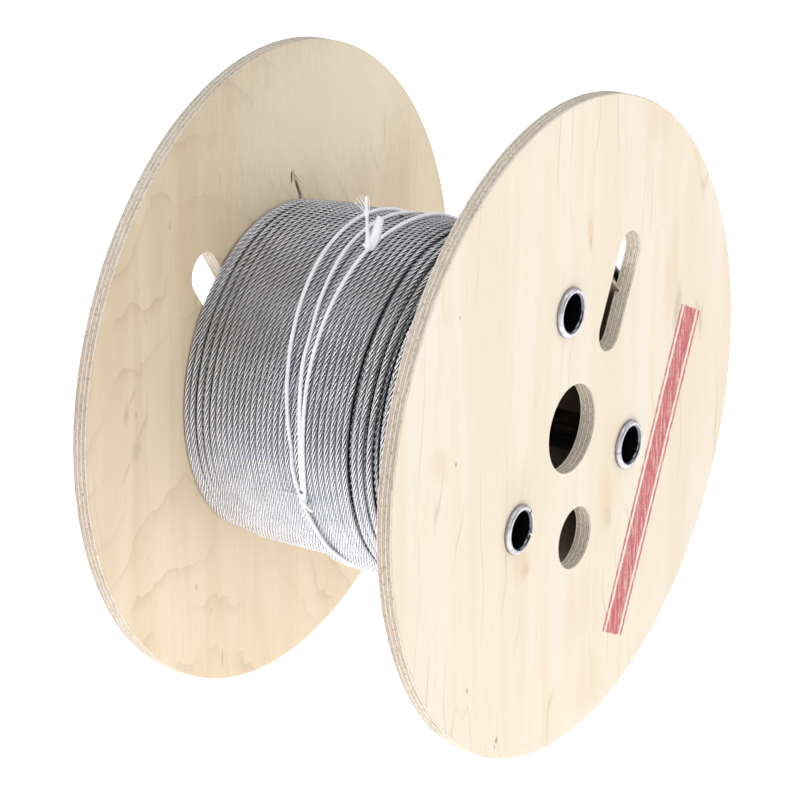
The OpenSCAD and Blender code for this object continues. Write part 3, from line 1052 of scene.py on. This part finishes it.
def make_hitch_shade_group():
    tree, given, end = new_group("hitch_shade_spots", {"Vector": "Vector"}, {"Mask": "Float"})
    mask = 0.0
    for angle, x, high, reach in HITCH_SHADE_SPOTS:
        spot = round_reel([angle], layer_r(TOP) + high*MM, [x*MM])[0][0]
        spot[2] -= TOP*LAYER_SAG
        away = distance(tree, given["Vector"], tuple(spot))
        mask = calc(tree, "MAXIMUM", mask, remap(tree, away, SHADE_SPOT_CORE*reach*MM, reach*MM,
                                                 SHADE_SPOT_THICK, 0.0))
    fill_sockets(tree, end, {"Mask": mask})


make_valley_group()
make_hitch_shade_group()
print("groups: strand_valleys, hitch_shade_spots")

# %% Galvanized wire
WIRES_ROUND = 28
ZINC = (0.90, 0.92, 0.985), (0.78, 0.80, 0.865)
ZINC_FLECK, GROOVE_DIRT_AND_SHADE = (0.40, 0.41, 0.43), (0.05, 0.05, 0.057)


def make_galvanized():
    material, tree, shader = new_material("galvanized_wire", Metallic=0.95)
    place = object_place(tree)
    strands = add_node(tree, "UVMap", uv_map="strands").outputs[0]
    round_turn = split(tree, add_node(tree, "UVMap", uv_map="wires").outputs[0])[1]
    valley = use_group(tree, "strand_valleys", {"UV": strands, "Strands": STRANDS})["Valley"]
    # The sides of a turn, where it lies against its neighbours, are painted dark like the grooves:
    # painted shade between the turns.
    from_crown = off_middle(tree, calc(tree, "ADD", round_turn, 0.5))
    groove = calc(tree, "MAXIMUM", remap(tree, valley, 0.16, 0.42),
                  remap(tree, from_crown, 0.13, 0.23, 0.0, 0.8))
    cloud = noise(tree, place, (70, 70, 70), 3, 0.6)
    fleck = noise(tree, place, (1400, 1400, 1400), 2, 0.6)
    zinc = mixed(tree, remap(tree, cloud, 0.35, 0.68), *ZINC)
    zinc = tinted(tree, zinc, ZINC_FLECK, remap(tree, fleck, 0.45, 0.75), 0.35)
    # The grooves are painted darkest on the upper side and paler low down, where the floor lights
    # the rope: painted light and shade.
    groove_shade_by_height = remap(tree, split(tree, place)[2], 0.12, 0.23, 0.30, 0.93)
    colour = tinted(tree, zinc, GROOVE_DIRT_AND_SHADE, groove, groove_shade_by_height)
    # Black spots of painted shade at the hitch.
    hitch_shade = use_group(tree, "hitch_shade_spots", {"Vector": place})["Mask"]
    colour = mixed(tree, hitch_shade, colour, PAINTED_SHADE_BLACK)
    fill_sockets(tree, shader, {"Roughness": remap(tree, fleck, 0.3, 0.75, 0.22, 0.34)})
    wire = calc(tree, "SINE", product(tree, round_turn, math.pi*WIRES_ROUND))
    colour_and_bump(tree, shader, colour, calc(tree, "ABSOLUTE", wire), 0.6, 0.1*MM)
    return material


galvanized = make_galvanized()
for piece in rope_pieces:
    dress(piece, galvanized)
print("zinc on", len(rope_pieces), "stranded pieces")

# %% Buried rope
BURIED_PAINTED_SHADE = (0.04, 0.04, 0.042), (0.42, 0.43, 0.45)


def make_buried_rope():
    """The core is only glimpsed between turns: dark grey metal, painted shade for rope deep in the
    winding, with rope-like ribs whose valleys are painted darker still.
    """
    material, tree, shader = new_material("buried_rope", Metallic=0.9, Roughness=0.55)
    place = object_place(tree)
    wave = product(tree, split(tree, place)[0], math.pi/(SECOND_PITCH*MM))
    rib = calc(tree, "ABSOLUTE", calc(tree, "SINE", wave))
    mottle = noise(tree, place, (500, 300, 300), 3, 0.6)
    colour_and_bump(tree, shader, mixed(tree, product(tree, rib, mottle), *BURIED_PAINTED_SHADE), rib, 0.8,
                    1.5*MM)
    return material


buried_rope = make_buried_rope()
for core in rope_cores:
    dress(core, buried_rope)
for piece in rope_pieces + rope_cores:
    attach(piece, "root")
    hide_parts("wire_rope")
print("rope:", len(rope_pieces), "stranded pieces and", len(rope_cores), "cores")

# %% [markdown]
# ## Twine
#
# Two metres of soft white twine go three times round the winding, so that the end of
# the rope can't spring open. It is three loose yarns twisted together, so it is swept
# as the rope is, with three lobes. It runs on the third layer and climbs the step to
# the top layer. At the back the three lines lie side by side, well apart. On the front
# they are drawn together by a small hitch, low down, below which they sink in between
# the turns, and they end in a knot high up, with two frayed tails: one stands up, the
# other lies flat and untwisted on the rope.
# It lies on the winding all the way, so it is pressed into its shape and is no loose cord.

# %% Twine route
TWINE_D = 2.6*MM
TWINE_LAY = 9*MM
YARNS = 3
YARN_SECTION = [0.98*MM, 1.22*MM, 1.3*MM, 1.22*MM]*YARNS
YARN_POINTS = len(YARN_SECTION)//YARNS
KNOT_ANGLE, KNOT_X = 20, -8.5
# (angle from the top towards the camera's side, place in mm, lift over other lines in mm)
TWINE_ROUTE = [
    (20, -8.5, 0.6), (30, -9.8, 0), (42, -10.4, 0), (67, -10.1, 0), (86, -8.6, 0), (98, -8.6, 0),
    (104, -9.6, 0), (109, -11.2, 0), (113, -10.9, 0), (117, -9.9, 0), (121, -8.8, 0),
    (127, -8.0, 0), (131, -6.6, -0.2), (137, -4.6, -0.9), (143, -4.6, -1.8), (155, -6.0, -1.9),
    (168, -9, -0.8), (195, -19, 0), (240, -31, 0), (300, -27.5, 0), (350, -24.8, 0),
    (380, -24.5, 0), (400, -21.2, 0), (421, -16.3, 0), (446, -10.9, 0), (458, -10.6, 0),
    (464, -11.2, 0.1), (469, -11.6, 0.4), (473, -10.6, 0.5), (477, -9.5, 0.4), (481, -8.4, 0.3),
    (487, -7.6, 0.2), (491, -6.2, 0), (497, -4.3, -0.8), (503, -4.3, -1.8), (515, -5.6, -1.8),
    (528, -9.4, -0.6), (555, -20, 0), (600, -34, 0), (660, -37, 0), (700, -37.8, 0),
    (724, -37.8, 0), (751, -35.3, 0), (778, -29, 0), (804, -21.0, 0), (815, -17.2, 0),
    (822, -14.4, 0.2), (828, -12.2, 0.8), (833, -10.2, 1.1), (837, -9.0, 1.0), (841, -7.9, 0.8),
    (847, -7.0, 0.6), (851, -5.6, 0.3), (857, -3.9, -0.7), (863, -3.9, -1.8), (875, -4.2, -1.8),
    (890, -5.4, -0.5), (915, -6.4, 0), (975, -7.6, 0), (1020, -7.0, 0), (1060, -4.8, 0),
    (1083, -5.4, 0), (1100, -8.5, 0.6)]
print("twine: %.1f times round" % ((TWINE_ROUTE[-1][0] - TWINE_ROUTE[0][0])/360))

# %% Twine path
TWINE_REST = 0.42*TWINE_D
TWINE_RINGS = 1700
# A taut line leaves the lower layer just before the step and lands on its crown.
CLIMB_BEFORE, CLIMB_OVER = 4.6*MM, 3.2*MM
ROUND_FROM = -7


def smooth_through(table, at):
    """Smooth curve through rows of (position, values ...), read at these positions."""
    rows = np.array(table, float)
    knots, values = rows[:, 0], rows[:, 1:]
    at = np.asarray(at, float)
    slope = np.gradient(values, knots, axis=0)
    k = np.clip(np.searchsorted(knots, at, side="right") - 1, 0, len(knots) - 2)
    span = (knots[k + 1] - knots[k])[:, None]
    f = (at - knots[k])[:, None]/span
    return ((1 + 2*f)*(1 - f)**2*values[k] + f*(1 - f)**2*span*slope[k]
            + f*f*(3 - 2*f)*values[k + 1] + f*f*(f - 1)*span*slope[k + 1])


def on_winding(angle, x, lift=0.0):
    """Places just above the rope at these angles and x, and the outward direction. The
    step is where the top layer's first turn is, in the round that starts at ROUND_FROM."""
    angle, x = np.asarray(angle, float), np.asarray(x, float)
    numbers, middles = np.array(TOP_LAYER).T
    turn = (FIRST_ANGLE - ((angle - ROUND_FROM) % 360 + ROUND_FROM))/360
    first_turn = np.interp(turn, numbers, middles)*MM
    climb = smooth_step((x - (first_turn - CLIMB_BEFORE))/CLIMB_OVER)
    places, out = round_reel(angle, layer_r(TOP - 1 + climb) + ROPE_D/2 + lift, x)
    places[..., 2] -= LAYER_SAG*(TOP - 1 + climb)
    return places, out


angles = np.linspace(TWINE_ROUTE[0][0], TWINE_ROUTE[-1][0], TWINE_RINGS)
route = smooth_through(TWINE_ROUTE, angles)*MM
twine_points, twine_out = on_winding(angles, route[:, 0], route[:, 1] + TWINE_REST)
twine_along = length_along(twine_points)
twine_wraps = swept_mesh("twine_wraps", twine_points, twine_out, YARN_SECTION,
                         2*math.pi*twine_along/TWINE_LAY, groove_every=YARN_POINTS)
print("twine: %.2f m in the wraps," % twine_along[-1], len(twine_wraps.data.polygons)*2,
      "triangles")

# %% [markdown]
# The knot is an overhand knot pulled tight. Its strand follows a trefoil, the closed
# curve with three lobes that an overhand knot makes when its ends are joined. The
# tails start inside it. Every small part here is drawn as steps from the knot's middle:
# towards the near disc, up round the winding, and away from it.

# %% Short strands
OUT_GUIDE = (0.15, -0.35, 0.92)
FEWEST_RINGS = 6


def from_place(angle, x, steps, lift):
    """Points given as (near, up, out) steps in mm from a place on the winding."""
    middle, out = (rows[0] for rows in on_winding([angle], [x*MM], lift))
    near = np.array([1.0, 0.0, 0.0])
    up = np.cross(out, near)
    return middle + np.asarray(steps, float)*MM @ np.array([near, up, out])


def strand(name, points, section, lay=TWINE_LAY, spacing=0.9*MM, taper=None, grooves=0):
    """A short strand swept through a few points, on a smooth curve."""
    points = np.asarray(points, float)
    chord = length_along(points)
    at = np.linspace(0, chord[-1], max(FEWEST_RINGS, int(chord[-1]/spacing)))
    path = smooth_through(np.column_stack([chord, points]), at)
    out = np.tile(np.array([OUT_GUIDE]), (len(path), 1))
    scale = None if taper is None else np.linspace(1, taper, len(path))
    return swept_mesh(name, path, out, section, 2*math.pi*at/lay, scale, groove_every=grooves)


def yarns_of(share):
    """Outline of twine pulled to a share of its thickness."""
    return [share*r for r in YARN_SECTION]


def flat_section(width, thick, count=12):
    """Oval outline, widest across the winding."""
    turn = 2*math.pi*np.arange(count)/count
    return list(width*thick/2/np.sqrt((width*np.cos(turn))**2 + (thick*np.sin(turn))**2))


twine_pieces = [twine_wraps]
print("short strands: outlines of", len(YARN_SECTION), "and", len(flat_section(1, 1)), "points")

# %% Knot and tails
KNOT_LIFT = 2.6*MM
KNOT_SIZE = 0.95
# The knot is turned about 20 degrees on the winding.
KNOT_TURNED = np.array([[0.94, 0.34, 0], [-0.34, 0.94, 0], [0, 0, 1.0]])
TAIL_UP = [(-0.5, 0, 0), (-1.2, 3, 6), (-2.0, 6.5, 14), (-2.4, 9.5, 21.5), (-2.6, 12, 28)]
TAIL_FLAT = [(0.5, 1, 0), (0.6, 5.5, 1.4), (-0.2, 10.5, 3.2), (-1.4, 15.5, 4.8), (-2.8, 21, 6.0)]


def trefoil(size, count=90):
    """Steps of an overhand knot's strand, as a closed curve of about 6 sizes across."""
    t = np.linspace(0, 2*math.pi, count)
    return size*np.stack([np.sin(t) + 2*np.sin(2*t), np.cos(t) - 2*np.cos(2*t),
                          -1.5*np.sin(3*t)], -1)


def at_knot(steps):
    return from_place(KNOT_ANGLE, KNOT_X, steps, KNOT_LIFT)


twine_pieces.append(strand("twine_knot", at_knot(trefoil(KNOT_SIZE) @ KNOT_TURNED),
                           yarns_of(0.9), spacing=0.5*MM, grooves=YARN_POINTS))
twine_pieces.append(strand("twine_tail_up", at_knot(TAIL_UP), flat_section(3.3*MM, 2.2*MM),
                           lay=70*MM, taper=0.6))
twine_pieces.append(strand("twine_tail_flat", at_knot(TAIL_FLAT), flat_section(7.4*MM, 1.3*MM),
                           lay=400*MM, taper=0.66))
print("knot at", KNOT_ANGLE, "degrees, with two tails")

# %% [markdown]
# The end of the standing tail has come apart: five fibres fan out from it. Each one
# bows a little on its way, so that no two look alike.

# %% Frayed fibres
FRAY_R = 0.36*MM
FAN_TIPS = [(-8.6, 10, 27), (-6.6, 10.8, 28.4), (-4.8, 11.4, 29.2), (-0.9, 12, 28.8),
            (-10.2, 9.0, 24.5)]
FAN_ROOT, FAN_SPREAD = np.array([-2.0, 6.6, 14.5]), np.array([0.25, 0.1, 0.3])
FAN_BOW = np.array([0.9, 0.3, 0.6])
for number, tip in enumerate(FAN_TIPS, 1):
    root = FAN_ROOT + FAN_SPREAD*(number % 3)
    bow = (root + tip)/2 + FAN_BOW
    twine_pieces.append(strand("twine_fray_%d" % number, at_knot([root, bow, tip]), [FRAY_R]*6,
                               taper=0.6))
print("frayed fibres:", len(FAN_TIPS))

# %% Hitch
# One turn round all three lines, its short end, and a loose fibre that lies on the rope.
HITCH_ANGLE, HITCH_X = 107.8, -10.8
HITCH_TURN = [(-2.6, 1.6, -1.0), (-2.6, 1.4, 0.8), (-1.2, 0.6, 2.2), (1.0, -1.0, 2.4),
              (2.5, -2.2, 1.2), (2.6, -2.6, -0.8)]
HITCH_END = [(-0.4, 1.4, 1.6), (1.8, -1.0, 2.6), (3.4, -3.6, 2.4), (4.8, -5.8, 1.4)]
# (angle, place, lift) in degrees and mm
LOOSE_FIBRE = [(108.5, -11.0, 1.6), (109.5, -16.3, 0.5), (108.6, -21.2, 0.4),
               (108.5, -26.6, 0.4), (109.2, -32.5, 0.3)]
LOOSE_FIBRE_R = 0.25*MM
twine_pieces.append(strand("twine_hitch", from_place(HITCH_ANGLE, HITCH_X, HITCH_TURN, 1.2*MM),
                           yarns_of(0.62), spacing=0.6*MM, grooves=YARN_POINTS))
twine_pieces.append(strand("twine_hitch_end", from_place(HITCH_ANGLE, HITCH_X, HITCH_END, 0.6*MM),
                           flat_section(2.0*MM, 1.2*MM), lay=60*MM, taper=0.7))
fibre = np.array([on_winding([a], [x*MM], lift*MM)[0][0] for a, x, lift in LOOSE_FIBRE])
twine_pieces.append(strand("twine_fibre", fibre, [LOOSE_FIBRE_R]*6))
print("twine pieces:", len(twine_pieces))

# %% [markdown]
# ## Twine finish
#
# Soft white polypropylene with a faint blue cast, matt, with fine fibres that run along
# each yarn and darker lines of painted shade where the yarns meet. Light soaks through
# the thin fibres, which is given as a faint painted glow of their own.

# %% Twine material
TWINE_WHITE = (0.97, 0.97, 1.0), (0.84, 0.85, 0.93)
TWINE_SHADE = (0.62, 0.63, 0.72)
TWINE_PAINTED_GLOW = (0.90, 0.92, 1.0, 1)


def make_twine():
    # Painted light: a faint glow of the twine's own.
    material, tree, shader = new_material(
        "twine", Roughness=0.85, Sheen_Weight=0.35, Specular_IOR_Level=0.3,
        Emission_Color=TWINE_PAINTED_GLOW, Emission_Strength=0.14)
    wires = add_node(tree, "UVMap", uv_map="wires").outputs[0]
    strands = add_node(tree, "UVMap", uv_map="strands").outputs[0]
    fibres = noise(tree, wires, (260, 26, 0), 3, 0.65)
    valley = use_group(tree, "strand_valleys", {"UV": strands, "Strands": YARNS})["Valley"]
    colour = mixed(tree, remap(tree, fibres, 0.35, 0.7), *TWINE_WHITE)
    colour = tinted(tree, colour, TWINE_SHADE, remap(tree, valley, 0.38, 0.5), 0.35)
    # Black spots of painted shade at the hitch.
    hitch_shade = use_group(tree, "hitch_shade_spots", {"Vector": object_place(tree)})["Mask"]
    colour = mixed(tree, hitch_shade, colour, PAINTED_SHADE_BLACK)
    colour_and_bump(tree, shader, colour, fibres, 0.7, 0.2*MM)
    return material


twine_finish = make_twine()
for piece in twine_pieces:
    dress(piece, twine_finish)
    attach(piece, "root")
    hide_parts("twine")
print("twine dressed")
